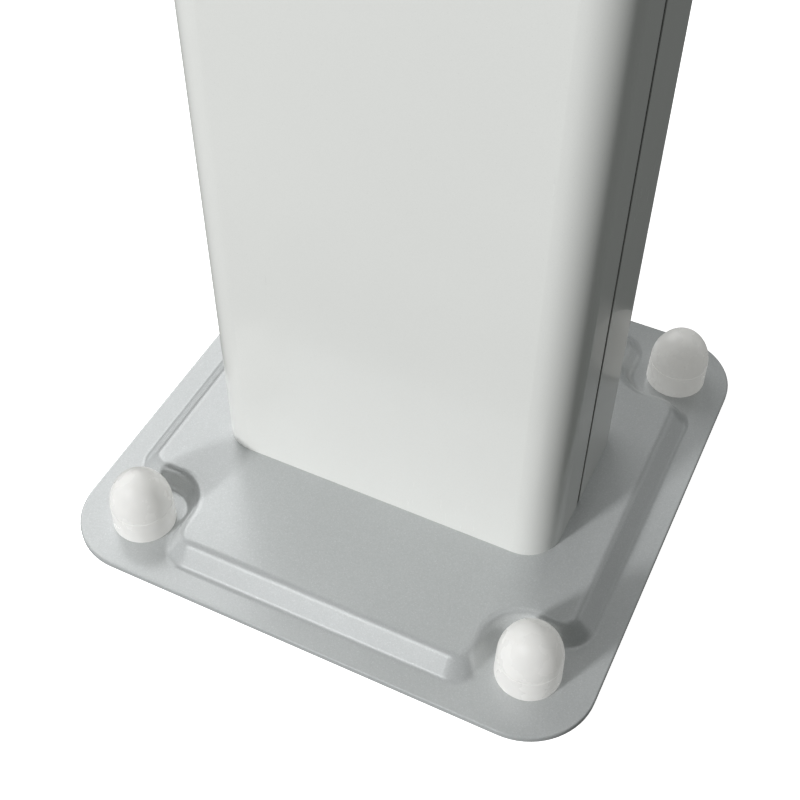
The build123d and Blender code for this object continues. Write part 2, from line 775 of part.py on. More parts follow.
def make_transformer():
    """Make the ring transformer on its pad, with the dished washer and bolt that hold it."""
    place = [(transformer_x, transformer_z)]
    pad_depth = 1.0
    washer_depth = 2.0
    front = tray_face + pad_depth + transformer_depth
    with BuildPart() as rubber_pad:
        disc(tray_face, place, transformer_radius - 2, pad_depth)
        disc(tray_face, place, transformer_bolt_radius + 0.3, pad_depth, Mode.SUBTRACT)
    finish(rubber_pad, "transformer_pad")
    with BuildPart() as transformer:
        disc(tray_face + pad_depth, place, transformer_radius, transformer_depth)
        disc(tray_face + pad_depth, place, transformer_core, transformer_depth, Mode.SUBTRACT)
        rims = transformer.edges().filter_by(GeomType.CIRCLE)
        fillet(rims.filter_by(lambda rim: rim.radius > transformer_core + 1), 7)
        fillet(transformer.edges().filter_by(GeomType.CIRCLE).filter_by(
            lambda rim: rim.radius < transformer_core + 1), 3)
    finish(transformer, "transformer")
    with BuildPart() as washer:
        disc(front, place, transformer_core + 12, washer_depth)
        fillet(washer.edges().group_by(Axis.Y)[0], 1.5)
        disc(front, place, transformer_bolt_radius + 0.3, washer_depth, Mode.SUBTRACT)
    finish(washer, "transformer_washer")
    with BuildPart() as bolt:
        with BuildSketch(Plane.XZ.offset(front + washer_depth)):
            with Locations(*place):
                RegularPolygon(5, 6, major_radius=False)
        extrude(amount=3)
        disc(front + washer_depth, place, transformer_bolt_radius,
             mast_face - 5 - front - washer_depth)
    finish(bolt, "transformer_bolt")


def make_terminal_block():
    """Make the block where the supply cable ends, with its clamp screws."""
    places = [(x, 143) for x in (-54, -42, -30)]
    with BuildPart() as terminals:
        pad(tray_face, -42, 143, 38, 20, 7)
        pad(tray_face + 7, -42, 143, 38, 14, 9)
        for x in (-48, -36):
            pad(tray_face + 12, x, 143, 1.2, 14, 5, Mode.SUBTRACT)
        disc(tray_face + 8, places, 3, 10, Mode.SUBTRACT)
        for x, z in places:
            pad(tray_face + 8.5, x, z + 5, 6, 6, 5, Mode.SUBTRACT)
    finish(terminals, "terminal_block")
    with BuildPart() as screws:
        disc(tray_face + 8, places, 2.7, 5)
        with BuildSketch(Plane.XZ.offset(tray_face + 13)):
            with Locations(*places):
                Rectangle(5, 0.9)
        extrude(amount=-1.2, mode=Mode.SUBTRACT)
    finish(screws, "terminal_screws")


def make_mains_bracket():
    """Make the bridge that holds the rocker switch and the fuse holder."""
    middle = (mains_bracket_bottom + mains_bracket_top) / 2
    tall = mains_bracket_top - mains_bracket_bottom
    back = mains_face - tray_sheet
    leg_x = (mains_bracket_width - tray_sheet) / 2
    with BuildPart() as bracket:
        pad(back, mains_bracket_x, middle, mains_bracket_width, tall, tray_sheet)
        for side in (-1, 1):
            pad(tray_face, mains_bracket_x + side * leg_x, middle, tray_sheet, tall,
                back - tray_face)
        pad(back, rocker_x, rocker_z, rocker_width + 2 * switch_wall + 0.4,
            rocker_height + 2 * switch_wall + 0.4, tray_sheet, Mode.SUBTRACT)
        disc(back, [(fuse_x, fuse_z)], fuse_body_radius + 0.2, tray_sheet, Mode.SUBTRACT)
    finish(bracket, "mains_bracket")


def make_rocker_switch():
    """Make the rocker switch: a housing with a bezel, and the rocker on its own pivots."""
    body_width = rocker_width + 2 * switch_wall
    body_height = rocker_height + 2 * switch_wall
    side_gap = 0.3
    pivot_face = mains_face - 2.0
    pivot_radius = 1.5
    with BuildPart() as housing:
        pad(mains_face - 15, rocker_x, rocker_z, body_width, body_height, 15)
        pad(mains_face, rocker_x, rocker_z, body_width + 3, body_height + 3, 1.5)
        pad(mains_face - 8, rocker_x, rocker_z, rocker_width, rocker_height, 12, Mode.SUBTRACT)
        with BuildSketch(Plane.YZ.offset(rocker_x - body_width / 2)):
            with Locations((-pivot_face, rocker_z)):
                Circle(pivot_radius + running_clearance)
        extrude(amount=body_width, mode=Mode.SUBTRACT)
    finish(housing, "power_switch")
    half = rocker_height / 2 - 1.2
    width = rocker_width - 2 * side_gap
    with BuildPart() as rocker:
        side = Plane(origin=(rocker_x - width / 2, -pivot_face, rocker_z),
                     x_dir=(0, 1, 0), z_dir=(1, 0, 0))
        with BuildSketch(side):
            Polygon((-3.2, 0), (-5.2, half), (-0.5, half), (3, 2), (3, -2), (-0.5, -half),
                    (-5.2, -half), rotation=rocker_tilt, align=None)
            Circle(3)
        extrude(amount=width)
        with BuildSketch(Plane.YZ.offset(rocker_x - body_width / 2 + 0.5)):
            with Locations((-pivot_face, rocker_z)):
                Circle(pivot_radius)
        extrude(amount=body_width - 1)
    finish(rocker, "power_rocker")


def make_fuse():
    """Make the fuse holder and its quarter-turn cap."""
    place = [(fuse_x, fuse_z)]
    bore = 3.5
    with BuildPart() as holder:
        disc(mains_face - 18, place, fuse_body_radius, 18)
        disc(mains_face, place, fuse_body_radius + 2, 1.5)
        disc(mains_face - 12, place, bore, 14, Mode.SUBTRACT)
    finish(holder, "fuse_holder")
    with BuildPart() as cap:
        disc(mains_face + 1.8, place, fuse_body_radius, 3)
        fillet(cap.edges().group_by(Axis.Y)[0], 0.5)
        disc(mains_face - 10, place, bore - running_clearance, 11.8)
        pad(mains_face + 3.8, fuse_x, fuse_z, 2 * fuse_body_radius - 3, 1.2, 2, Mode.SUBTRACT)
    finish(cap, "fuse_cap")


# ---------------------------------------------------------------- lamp head


def make_top_plate():
    """Make the plate that closes the mast and carries the lamp board and the lens."""
    ear_places = pairs(bracket_screw_spacing, [mast_top - 14])
    with BuildPart() as plate:
        with BuildSketch(Plane.XY.offset(mast_top)):
            draw_outline(cover_wall + 0.6)
            with Locations((lamp_lead_x, lead_hole_y)):
                Circle(lead_hole_radius, mode=Mode.SUBTRACT)
        extrude(amount=top_plate_sheet)
        pad(mast_sheet - mast_back, 0, mast_top - 13,
            mast_width - 2 * mast_sheet - 4, 26, top_plate_sheet)
        disc(mast_sheet - mast_back, ear_places, screw_radius + screw_clearance,
             top_plate_sheet, Mode.SUBTRACT)
    finish(plate, "top_plate")
    with BuildPart() as board:
        with BuildSketch(Plane.XY.offset(lamp_board_floor)):
            RectangleRounded(lamp_board_width, lamp_board_depth, 3)
            with GridLocations(*lamp_board_holes, 2, 2):
                Circle(small_screw_radius + 0.1, mode=Mode.SUBTRACT)
        extrude(amount=board_thickness)
    finish(board, "lamp_board")


def make_lamps():
    """Make the alarm lamps round the edge of the lamp board, and the buzzer in its middle."""
    floor = lamp_board_floor + board_thickness
    places = [(x, y) for x in (-50, -25, 0, 25, 50) for y in (-22, 22)]
    with BuildPart() as lamps:
        with BuildSketch(Plane.XY.offset(floor)):
            with Locations(*places):
                Circle(2.9)
        extrude(amount=1)
        with BuildSketch(Plane.XY.offset(floor + 1)):
            with Locations(*places):
                Circle(2.5)
        extrude(amount=6)
        fillet(lamps.edges().group_by(Axis.Z)[-1], 2.3)
    finish(lamps, "alarm_lamps")
    with BuildPart() as buzzer:
        with BuildSketch(Plane.XY.offset(floor)):
            Circle(14)
        extrude(amount=9)
        fillet(buzzer.edges().group_by(Axis.Z)[-1], 1.5)
        with BuildSketch(Plane.XY.offset(floor + 5)):
            Circle(2.5)
        extrude(amount=10, mode=Mode.SUBTRACT)
    finish(buzzer, "alarm_buzzer")


def make_lens():
    """Make the lamp lens: a band as wide as the column, with a skirt inside the covers."""
    skirt_outer = cover_wall + tongue_gap + 0.3
    with BuildPart() as lens:
        with BuildSketch(Plane.XY.offset(lens_bottom)):
            draw_outline(0)
        extrude(amount=lens_top - lens_bottom)
        with BuildSketch(Plane.XY.offset(top_plate_floor)):
            draw_outline(skirt_outer)
        extrude(amount=lens_bottom - top_plate_floor)
        with BuildSketch(Plane.XY.offset(top_plate_floor)):
            draw_outline(skirt_outer + 1.6)
        extrude(amount=lens_bottom - top_plate_floor + 2, mode=Mode.SUBTRACT)
        with BuildSketch(Plane.XY.offset(lens_bottom + 2)):
            draw_outline(lens_wall)
        extrude(amount=lens_top - lens_bottom, mode=Mode.SUBTRACT)
    finish(lens, "lamp_lens")


def make_top_cap():
    """Make the hollow cap that closes the lens, with a skirt inside it."""
    skirt_outer = lens_wall + fit_gap
    with BuildPart() as cap:
        with BuildSketch(Plane.XY.offset(lens_top)):
            draw_outline(0)
        extrude(amount=cap_top - lens_top)
        fillet(cap.edges().group_by(Axis.Z)[-1], cap_edge_radius)
        with BuildSketch(Plane.XY.offset(lens_top - cap_skirt)):
            draw_outline(skirt_outer)
        extrude(amount=cap_skirt)
        with BuildSketch(Plane.XY.offset(lens_top - cap_skirt)):
            draw_outline(skirt_outer + 2)
        extrude(amount=cap_top - cover_wall - lens_top + cap_skirt, mode=Mode.SUBTRACT)
    finish(cap, "top_cap")


# ---------------------------------------------------------------- leads


def bend_radii(points):
    """Find an easy bend radius for each corner of a lead's route."""
    radii = []
    for before, corner, after in zip(points, points[1:], points[2:]):
        arriving = Vector(*corner) - Vector(*before)
        leaving = Vector(*after) - Vector(*corner)
        half_turn = radians(arriving.get_angle(leaving)) / 2
        radii.append(0.45 * min(arriving.length, leaving.length) / tan(half_turn))
    return radii


def make_lead(name, *routes):
    """Sweep round leads along straight runs joined by arcs, one lead for each route."""
    with BuildPart() as lead:
        for points in routes:
            radii = bend_radii(points)
            with BuildLine() as route:
                FilletPolyline(*points, radius=radii)
            with BuildSketch(Plane(origin=route.line @ 0, z_dir=route.line % 0)):
                Circle(lead_radius)
            sweep(path=route.line)
            print(name, "bends", [round(radius, 1) for radius in radii])
    finish(lead, name)


def make_leads():
    """Make the leads from the controller board to the antennas and the lamp board."""
    coil_face = former_back + former_depth / 2
    lower_end = antenna_bottoms["lower"] + 1
    upper_end = antenna_bottoms["upper"] + 1
    lower_route = [
        (lower_lead_x, -lead_face, connector_top),
        (lower_lead_x, -lead_face, connector_top + 13),
        (lower_lead_x, -coil_face, lower_end - 13),
        (lower_lead_x, -coil_face, lower_end),
    ]
    upper_route = [
        (upper_lead_x, -lead_face, connector_top),
        (upper_lead_x, -lead_face, connector_top + 15),
        (upper_lead_x, 2, connector_top + 35),
        (upper_lead_x, upper_lead_y, connector_top + 70),
        (upper_lead_x, upper_lead_y, upper_end - 64),
        (upper_lead_x, -3, upper_end - 34),
        (upper_lead_x, -coil_face, upper_end - 14),
        (upper_lead_x, -coil_face, upper_end),
    ]
    make_lead("antenna_leads", lower_route, upper_route)
    make_lead("lamp_lead", [
        (lamp_lead_x, -lead_face, connector_top),
        (lamp_lead_x, -lead_face, connector_top + 15),
        (lamp_lead_x, 6, connector_top + 38),
        (lamp_lead_x, lamp_lead_y, connector_top + 80),
        (lamp_lead_x, lamp_lead_y, mast_top - 70),
        (lamp_lead_x, lead_hole_y, mast_top - 30),
        (lamp_lead_x, lead_hole_y, lamp_board_floor),
    ])
    reach = transformer_radius * cos(radians(45))
    start_x = transformer_x + reach
    start_z = transformer_z + reach
    make_lead("supply_lead", [
        (start_x, -lead_face, start_z),
        (start_x + 6, -lead_face, start_z + 6),
        (supply_x, -lead_face, board_bottom - 5),
        (supply_x, -lead_face, board_bottom + 4),
    ])


def make_clips():
    """Make the clips that hold the lamp lead against the back of the mast."""
    web_face = mast_back - mast_sheet
    clip_depth = web_face - lamp_lead_y + lead_radius + 2
    lowest = antenna_bottoms["lower"] + clip_end_gap / 2
    highest = mast_top - clip_end_gap
    heights = [
        lowest + step * (highest - lowest) / (clip_count - 1) for step in range(clip_count)
    ]
    with BuildPart() as clips:
        for height in heights:
            block(lamp_lead_x, web_face - clip_depth / 2, height, clip_width, clip_depth,
                  clip_height)
        with BuildSketch(Plane.XY.offset(lowest)):
            with Locations((lamp_lead_x, lamp_lead_y)):
                Circle(lead_radius + 0.1)
        extrude(amount=highest, mode=Mode.SUBTRACT)
    finish(clips, "lead_clips")


# ---------------------------------------------------------------- build everything

make_base_plate()
make_grommet()
make_anchor_caps()
make_mast()
make_mast_fasteners()
for bracket_name, bracket_height in bracket_heights.items():
    make_bracket(bracket_name, bracket_height)
front_screws(
    "bracket_screws",
    pairs(bracket_screw_spacing, bracket_heights.values()),
    mast_sheet - mast_back,
    mast_sheet + bracket_sheet + 3,
    screw_radius,
)
front_screws(
    "tray_screws",
    pairs(lip_screw_spacing, [tray_bottom + 15, tray_top - 15]),
    tray_face,
    tray_sheet + mast_sheet + 2,
    screw_radius,
)
make_covers()
make_cover_screws()
for antenna_name, antenna_bottom in antenna_bottoms.items():
    make_antenna(antenna_name, antenna_bottom)
make_antenna_fixings()
make_tray()
make_standoffs()
make_board_parts()
make_trimmers()
make_reset_switch()
make_transformer()
make_terminal_block()
make_mains_bracket()
make_rocker_switch()
make_fuse()
make_top_plate()
make_lamps()
make_lens()
make_top_cap()
make_leads()
make_clips()
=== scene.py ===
import json
import math

import bmesh
import bpy
from bpy.props import FloatProperty, FloatVectorProperty, IntProperty, PointerProperty
from mathutils import Matrix, Vector

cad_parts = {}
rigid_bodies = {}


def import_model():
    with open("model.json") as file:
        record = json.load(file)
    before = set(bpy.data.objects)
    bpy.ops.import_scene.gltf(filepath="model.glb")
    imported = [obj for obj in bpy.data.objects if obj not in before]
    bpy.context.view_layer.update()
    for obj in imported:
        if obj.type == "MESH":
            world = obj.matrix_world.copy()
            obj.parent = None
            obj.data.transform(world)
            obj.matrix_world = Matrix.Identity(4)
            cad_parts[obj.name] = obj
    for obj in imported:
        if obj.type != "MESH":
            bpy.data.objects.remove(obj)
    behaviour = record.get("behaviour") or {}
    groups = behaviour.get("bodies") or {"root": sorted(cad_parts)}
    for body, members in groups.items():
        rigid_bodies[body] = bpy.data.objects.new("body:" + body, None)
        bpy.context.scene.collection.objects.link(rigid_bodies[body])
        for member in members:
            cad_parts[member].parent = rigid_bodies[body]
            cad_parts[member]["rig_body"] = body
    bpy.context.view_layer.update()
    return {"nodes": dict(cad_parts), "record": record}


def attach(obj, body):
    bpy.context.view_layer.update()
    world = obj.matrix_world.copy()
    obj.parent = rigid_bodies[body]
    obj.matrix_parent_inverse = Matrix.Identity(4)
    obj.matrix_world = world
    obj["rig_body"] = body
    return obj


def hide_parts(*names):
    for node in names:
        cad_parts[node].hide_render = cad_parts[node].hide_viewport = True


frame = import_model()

bl_info = {
    "name": "Security gate pedestal",
    "version": (1, 0, 0),
    "blender": (4, 5, 0),
    "location": "3D View > Sidebar > Gate",
    "description": "Finishes a shop's antenna pedestal around its fixed frame of parts",
    "category": "Object",
}

MM = 0.001

LIGHT_COLOUR = 0.3   # mouldings brighter than this count as light
LIGHT_CHANGE = 0.02  # how far a light moulding's colour varies, either way
DARK_CHANGE = 0.12   # the same for a dark one, which shows it less

LAYER_STEP = 0.87    # distance between nested layers of wire, in wire widths
CORNER_STEPS = 10    # points round each corner of a turn
WIRE_SIDES = 8       # sides of the wire's section

ROOM_COLOUR = (0.95, 1.0, 0.96, 1.0)
ROOM_STRENGTH = 0.11
FLOOR_GLOW = 0.9
BACKDROP_GLOW = 0.95

# name, place, what it looks at, width in metres, power in watts
LIGHTS = (
    ("key", (-1.15, -2.60, 1.05), (0.0, 0.0, 0.1), 0.35, 68.0),
    ("wall_left", (-2.4, 1.7, 2.4), (0.0, 0.0, 0.0), 3.0, 50.0),
    ("ceiling", (0.45, 1.0, 2.6), (0.0, 0.0, 0.0), 2.4, 8.0),
    ("front_left", (-0.90, -2.30, 1.95), (0.0, 0.0, 0.0), 1.5, 13.0),
    ("low_right", (2.2, 1.8, 0.9), (0.0, 0.0, 0.1), 2.0, 5.0),
)

# name, slot, block's width and height in mm, columns and rows, then as shares of the board:
# the group's width and height, and its middle's distance from the board's middle and foot
BOARD_GROUPS = (
    ("resistors", "chip_black", (1.6, 0.8), (7, 2), (0.20, 0.03), (-0.10, 0.245)),
    ("ceramics", "nylon", (1.2, 0.9), (6, 2), (0.20, 0.03), (0.26, 0.245)),
    ("links", "fastener_zinc", (2.0, 0.6), (4, 3), (0.12, 0.05), (-0.42, 0.44)),
)


# ---------------------------------------------------------------- shader building


class Link:
    """One output socket of a finish. Python's operators on it add Math nodes."""

    def __init__(self, finish, socket):
        self.finish = finish
        self.socket = socket

    def math(self, operation, *others):
        values = {place: value for place, value in enumerate((self, *others))}
        return self.finish.node("ShaderNodeMath", {"operation": operation}, values)

    def __add__(self, other):
        return self.math("ADD", other)

    def __sub__(self, other):
        return self.math("SUBTRACT", other)

    def __rsub__(self, other):
        return (self * -1.0) + other

    def __mul__(self, other):
        return self.math("MULTIPLY", other)

    __radd__ = __add__
    __rmul__ = __mul__


class Finish:
    """A material whose nodes are added one call at a time."""

    def __init__(self, name):
        self.material = bpy.data.materials.new(name)
        self.material.use_nodes = True
        self.nodes = self.material.node_tree.nodes
        self.shader = self.nodes["Principled BSDF"]

    def node(self, kind, settings=None, values=None, output=0):
        """Add a node: its settings first, then the values or links of its sockets."""
        added = self.nodes.new(kind)
        for name, value in (settings or {}).items():
            setattr(added, name, value)
        for name, value in (values or {}).items():
            self.put(added.inputs[name], value)
        return Link(self, added.outputs[output])

    def put(self, socket, value):
        """Set one input to a number, a colour or a link."""
        if isinstance(value, Link):
            self.material.node_tree.links.new(value.socket, socket)
        elif isinstance(value, (tuple, list)) and socket.type == "RGBA":
            socket.default_value = (*value[:3], 1.0)
        else:
            socket.default_value = value

    def surface(self, **values):
        """Set the shader's inputs by name, with underscores for spaces."""
        for name, value in values.items():
            self.put(self.shader.inputs[name.replace("_", " ")], value)
        return self.material

    def place(self):
        """The point on the piece, in metres."""
        return self.node("ShaderNodeTexCoord", output="Object")

    def stretched(self, place, x, y, z):
        """The same point with each axis scaled, for grain that runs one way."""
        return self.node("ShaderNodeMapping", {}, {"Vector": place, "Scale": (x, y, z)})

    def noise(self, place, scale, detail=2.0, roughness=0.5):
        values = {"Vector": place, "Scale": scale, "Detail": detail, "Roughness": roughness}
        return self.node("ShaderNodeTexNoise", {}, values)

    def cells(self, place, scale, output="Distance"):
        return self.node("ShaderNodeTexVoronoi", {}, {"Vector": place, "Scale": scale}, output)

    def spread(self, value, low, high, out_low=0.0, out_high=1.0):
        """Map a value from one span to another, smoothly and clamped."""
        values = {"Value": value, "From Min": low, "From Max": high, "To Min": out_low,
                  "To Max": out_high}
        return self.node("ShaderNodeMapRange", {"interpolation_type": "SMOOTHSTEP"}, values)

    def mix(self, factor, first, second):
        """Mix two colours."""
        added = self.nodes.new("ShaderNodeMix")
        added.data_type = "RGBA"
        self.put(added.inputs["Factor"], factor)
        colours = [s for s in added.inputs if s.type == "RGBA"]
        self.put(colours[0], first)
        self.put(colours[1], second)
        output = [s for s in added.outputs if s.type == "RGBA"][0]
        return Link(self, output)

    def bump(self, height, strength, depth):
        """Turn a height into a normal. The depth is in metres."""
        values = {"Height": height, "Strength": strength, "Distance": depth}
        return self.node("ShaderNodeBump", {}, values)


def shade(colour, factor):
    """A colour made lighter or darker."""
    return tuple(min(1.0, channel * factor) for channel in colour)


# ---------------------------------------------------------------- finishes


def foot_paint(colour):
    """Silver-grey fine textured powder coat with small bright flakes."""
    f = Finish("foot_paint")
    place = f.place()
    flake_seed = f.cells(place, 2600.0, "Color")
    flake = f.node("ShaderNodeSeparateColor", {}, {"Color": flake_seed})
    flake_mask = f.spread(flake, 0.90, 0.98)
    grain = f.noise(place, 1500.0, 3.0, 0.6)
    cloud = f.noise(place, 16.0, 3.0, 0.55)
    rubbed = f.noise(place, 70.0, 4.0, 0.6)
    base = f.mix(f.spread(cloud, 0.3, 0.7), shade(colour, 0.985), shade(colour, 1.015))
    base = f.mix(f.spread(grain, 0.35, 0.65, 0.0, 0.28), base, shade(colour, 0.72))
    base = f.mix(flake_mask * 0.22, base, shade(colour, 1.5))
    roughness = f.spread(rubbed, 0.3, 0.75, 0.25, 0.27) - flake_mask * 0.06
    peel = f.noise(place, 420.0, 2.0, 0.5)
    height = grain * 0.35 + peel * 0.65
    return f.surface(Base_Color=base, Roughness=roughness, Metallic=0.25,
                     Normal=f.bump(height, 0.20, 0.00006))


def column_white(colour):
    """White semi-gloss paint: slight orange peel, tiny specks, faint scuffs."""
    f = Finish("column_white")
    place = f.place()
    peel = f.noise(place, 330.0, 2.0, 0.5)
    fine = f.noise(place, 1800.0, 2.0, 0.5)
    cloud = f.noise(place, 5.0, 3.0, 0.5)
    speck = f.cells(place, 420.0)
    speck_mask = 1.0 - f.spread(speck, 0.03, 0.09)
    scuff_lines = f.noise(f.stretched(place, 900.0, 900.0, 60.0), 1.0, 2.0, 0.5)
    scuff_zone = f.noise(place, 14.0, 2.0, 0.5)
    scuff = f.spread(scuff_lines, 0.66, 0.72) * f.spread(scuff_zone, 0.60, 0.70)
    base = f.mix(f.spread(cloud, 0.3, 0.7), shade(colour, 0.975), shade(colour, 1.015))
    base = f.mix(f.spread(fine, 0.4, 0.62, 0.0, 0.10), base, shade(colour, 0.86))
    base = f.mix(speck_mask * 0.22, base, shade(colour, 0.55))
    base = f.mix(scuff * 0.35, base, shade(colour, 0.60))
    roughness = f.spread(cloud, 0.3, 0.7, 0.20, 0.27) + scuff * 0.2
    return f.surface(Base_Color=base, Roughness=roughness, Coat_Weight=0.25,
                     Normal=f.bump(peel * 0.8 + fine * 0.2, 0.10, 0.00010))


def milky_plastic(colour):
    """Milky low-density plastic that lets some light through, with a painted glow: a faint emission
    lightens its shaded side as if light came through, over a base colour darkened to offset it.
    """
    f = Finish("milky_plastic")
    place = f.place()
    haze = f.noise(place, 90.0, 3.0, 0.5)
    fine = f.noise(place, 900.0, 2.0, 0.5)
    rings = f.noise(f.stretched(place, 40.0, 40.0, 2200.0), 1.0, 2.0, 0.5)
    # Painted light: the base colour is darkened to 0.70-0.75 of the given colour so that, with the
    # painted glow below, the lit side is not too bright.
    base = f.mix(f.spread(haze, 0.3, 0.7), shade(colour, 0.70), shade(colour, 0.75))
    roughness = f.spread(haze, 0.3, 0.7, 0.22, 0.30)
    # Painted glow: the emission makes the piece give off light of its own, though it is no lamp, so
    # that its shaded side is lighter.
    return f.surface(Base_Color=base, Roughness=roughness, Subsurface_Weight=0.35,
                     Subsurface_Radius=(1.0, 0.96, 0.9), Subsurface_Scale=0.004,
                     Emission_Color=(1.0, 0.99, 0.95), Emission_Strength=0.22,
                     Normal=f.bump(fine * 0.5 + rings * 0.5, 0.12, 0.00008))


def moulded(name, colour, roughness=0.45, scale=1400.0, depth=0.00005):
    """Plain moulded plastic or rubber with a fine spark texture."""
    f = Finish(name)
    place = f.place()
    grain = f.noise(place, scale, 2.0, 0.5)
    cloud = f.noise(place, 60.0, 2.0, 0.5)
    change = LIGHT_CHANGE if max(colour) > LIGHT_COLOUR else DARK_CHANGE
    base = f.mix(f.spread(cloud, 0.3, 0.7), shade(colour, 1 - change), shade(colour, 1 + change))
    rough = f.spread(cloud, 0.3, 0.7, roughness - 0.02, roughness + 0.02)
    return f.surface(Base_Color=base, Roughness=rough, Normal=f.bump(grain, 0.3, depth))


def metal(name, colour, roughness=0.35, stretch=(1.0, 1.0, 1.0), blotch=0.10):
    """Bare or plated metal with grain, blotches and light wear."""
    f = Finish(name)
    place = f.place()
    grain = f.noise(f.stretched(place, *stretch), 700.0, 3.0, 0.6)
    cloud = f.noise(place, 45.0, 4.0, 0.6)
    base = f.mix(f.spread(cloud, 0.35, 0.65), shade(colour, 1.0 - blotch), colour)
    rough = f.spread(grain, 0.3, 0.7, roughness - 0.07, roughness + 0.09)
    return f.surface(Base_Color=base, Roughness=rough, Metallic=1.0,
                     Normal=f.bump(grain, 0.25, 0.00004))


def circuit_board(colour):
    """Green solder mask over copper tracks."""
    f = Finish("circuit_board")
    place = f.place()
    tracks = f.node("ShaderNodeTexBrick", {"offset": 0.37, "offset_frequency": 3},
                    {"Vector": place, "Scale": 90.0,
                     "Mortar Size": 0.06, "Brick Width": 1.3, "Row Height": 0.35}, "Fac")
    cloud = f.noise(place, 80.0, 2.0, 0.5)
    base = f.mix(tracks * 0.6, colour, shade(colour, 1.9))
    rough = f.spread(cloud, 0.3, 0.7, 0.22, 0.34)
    return f.surface(Base_Color=base, Roughness=rough, Normal=f.bump(tracks, 0.4, 0.00005))


def lens(name, colour, weight):
    """Tinted lamp plastic that is part clear, by the given weight."""
    f = Finish(name)
    place = f.place()
    haze = f.noise(place, 120.0, 2.0, 0.5)
    base = f.mix(f.spread(haze, 0.3, 0.7), shade(colour, 0.94), shade(colour, 1.04))
    rough = f.spread(haze, 0.3, 0.7, 0.22, 0.30)
    return f.surface(Base_Color=base, Roughness=rough, Transmission_Weight=weight,
                     Normal=f.bump(haze, 0.1, 0.00005))


RECIPES = {
    "foot_paint": foot_paint,
    "column_white": column_white,
    "top_white": lambda c: moulded("top_white", c, 0.3, 700.0, 0.00004),
    "milky_plastic": milky_plastic,
    "black_rubber": lambda c: moulded("black_rubber", c, 0.6),
    # seal_rubber: the black strip in the seam between the covers, partly a real seal and partly
    # painted shade, since it fills the gap so that the seam reads dark.
    "seal_rubber": lambda c: moulded("seal_rubber", c, 0.75),
    "zinc_steel": lambda c: metal("zinc_steel", c, 0.38, (1.0, 1.0, 0.05), 0.18),
    "fastener_zinc": lambda c: metal("fastener_zinc", c, 0.28),
    "former_plastic": lambda c: moulded("former_plastic", c, 0.45),
    "copper_winding": lambda c: metal("copper_winding", c, 0.22),
    "nylon": lambda c: moulded("nylon", c, 0.4),
    "tray_aluminium": lambda c: metal("tray_aluminium", c, 0.34, (0.05, 1.0, 1.0)),
    "brass_standoff": lambda c: metal("brass_standoff", c, 0.25),
    "circuit_board": circuit_board,
    "chip_black": lambda c: moulded("chip_black", c, 0.5),
    "capacitor_sleeve": lambda c: moulded("capacitor_sleeve", c, 0.25),
    "connector_white": lambda c: moulded("connector_white", c, 0.4),
    "heatsink_black": lambda c: moulded("heatsink_black", c, 0.38),
    "status_green": lambda c: lens("status_green", c, 0.5),
    "trimmer_blue": lambda c: moulded("trimmer_blue", c, 0.35),
    "knob_grey": lambda c: moulded("knob_grey", c, 0.4),
    "reset_red": lambda c: moulded("reset_red", c, 0.3),
    "transformer_tape": lambda c: moulded("transformer_tape", c, 0.25, 400.0),
    "terminal_grey": lambda c: moulded("terminal_grey", c, 0.42),
    "rocker_black": lambda c: moulded("rocker_black", c, 0.22),
    "alarm_red": lambda c: lens("alarm_red", c, 0.6),
    "lens_clear": lambda c: moulded("lens_clear", c, 0.24),
    "lead_grey": lambda c: moulded("lead_grey", c, 0.45),
    "lead_red": lambda c: moulded("lead_red", c, 0.4),
}


# ---------------------------------------------------------------- repeated parts


class Tree:
    """A geometry node tree whose nodes are added one call at a time."""

    def __init__(self, name):
        self.group = bpy.data.node_groups.new(name, "GeometryNodeTree")
        self.group.interface.new_socket("Geometry", in_out="OUTPUT",
                                        socket_type="NodeSocketGeometry")
        self.entry = self.group.nodes.new("NodeGroupInput")
        self.exit = self.group.nodes.new("NodeGroupOutput")

    def input(self, name, kind, default):
        """Add a named input and return its socket."""
        made = self.group.interface.new_socket(name, in_out="INPUT", socket_type=kind)
        if default is not None:
            made.default_value = default
        return self.entry.outputs[name]

    def node(self, kind, settings, values):
        """Add a node: its settings first, then the values or links of its sockets."""
        added = self.group.nodes.new(kind)
        for name, value in settings.items():
            setattr(added, name, value)
        for name, value in values.items():
            socket = added.inputs[name]
            if isinstance(value, bpy.types.NodeSocket):
                self.group.links.new(value, socket)
            else:
                socket.default_value = value
        return added.outputs[0]

    def close(self, instances, material):
        """Turn the instances into one mesh with its material."""
        real = self.node("GeometryNodeRealizeInstances", {}, {"Geometry": instances})
        finished = self.node("GeometryNodeSetMaterial", {},
                             {"Geometry": real, "Material": material})
        self.group.links.new(finished, self.exit.inputs["Geometry"])


def grown(name, tree, values):
    """Run a tree on an empty mesh with the given inputs and keep the result as a plain mesh."""
    holder = bpy.data.objects.new(name, bpy.data.meshes.new(name))
    bpy.context.scene.collection.objects.link(holder)
    growth = holder.modifiers.new("growth", "NODES")
    growth.node_group = tree.group
    for item in tree.group.interface.items_tree:
        if item.in_out == "INPUT" and item.name in values:
            growth[item.identifier] = values[item.name]
    bpy.context.view_layer.update()
    graph = bpy.context.evaluated_depsgraph_get()
    mesh = bpy.data.meshes.new_from_object(holder.evaluated_get(graph))
    holder.modifiers.remove(growth)
    holder.data = mesh
    if not mesh.polygons:
        raise RuntimeError(f"{name} came out empty")
    return holder


def joined(name, layers):
    """One object that holds the meshes of several, which are removed."""
    combined = bmesh.new()
    for layer in layers:
        combined.from_mesh(layer.data)
    mesh = bpy.data.meshes.new(name)
    combined.to_mesh(mesh)
    combined.free()
    mesh.materials.append(layers[0].data.materials[0])
    for layer in layers:
        bpy.data.objects.remove(layer)
    result = bpy.data.objects.new(name, mesh)
    bpy.context.scene.collection.objects.link(result)
    return result


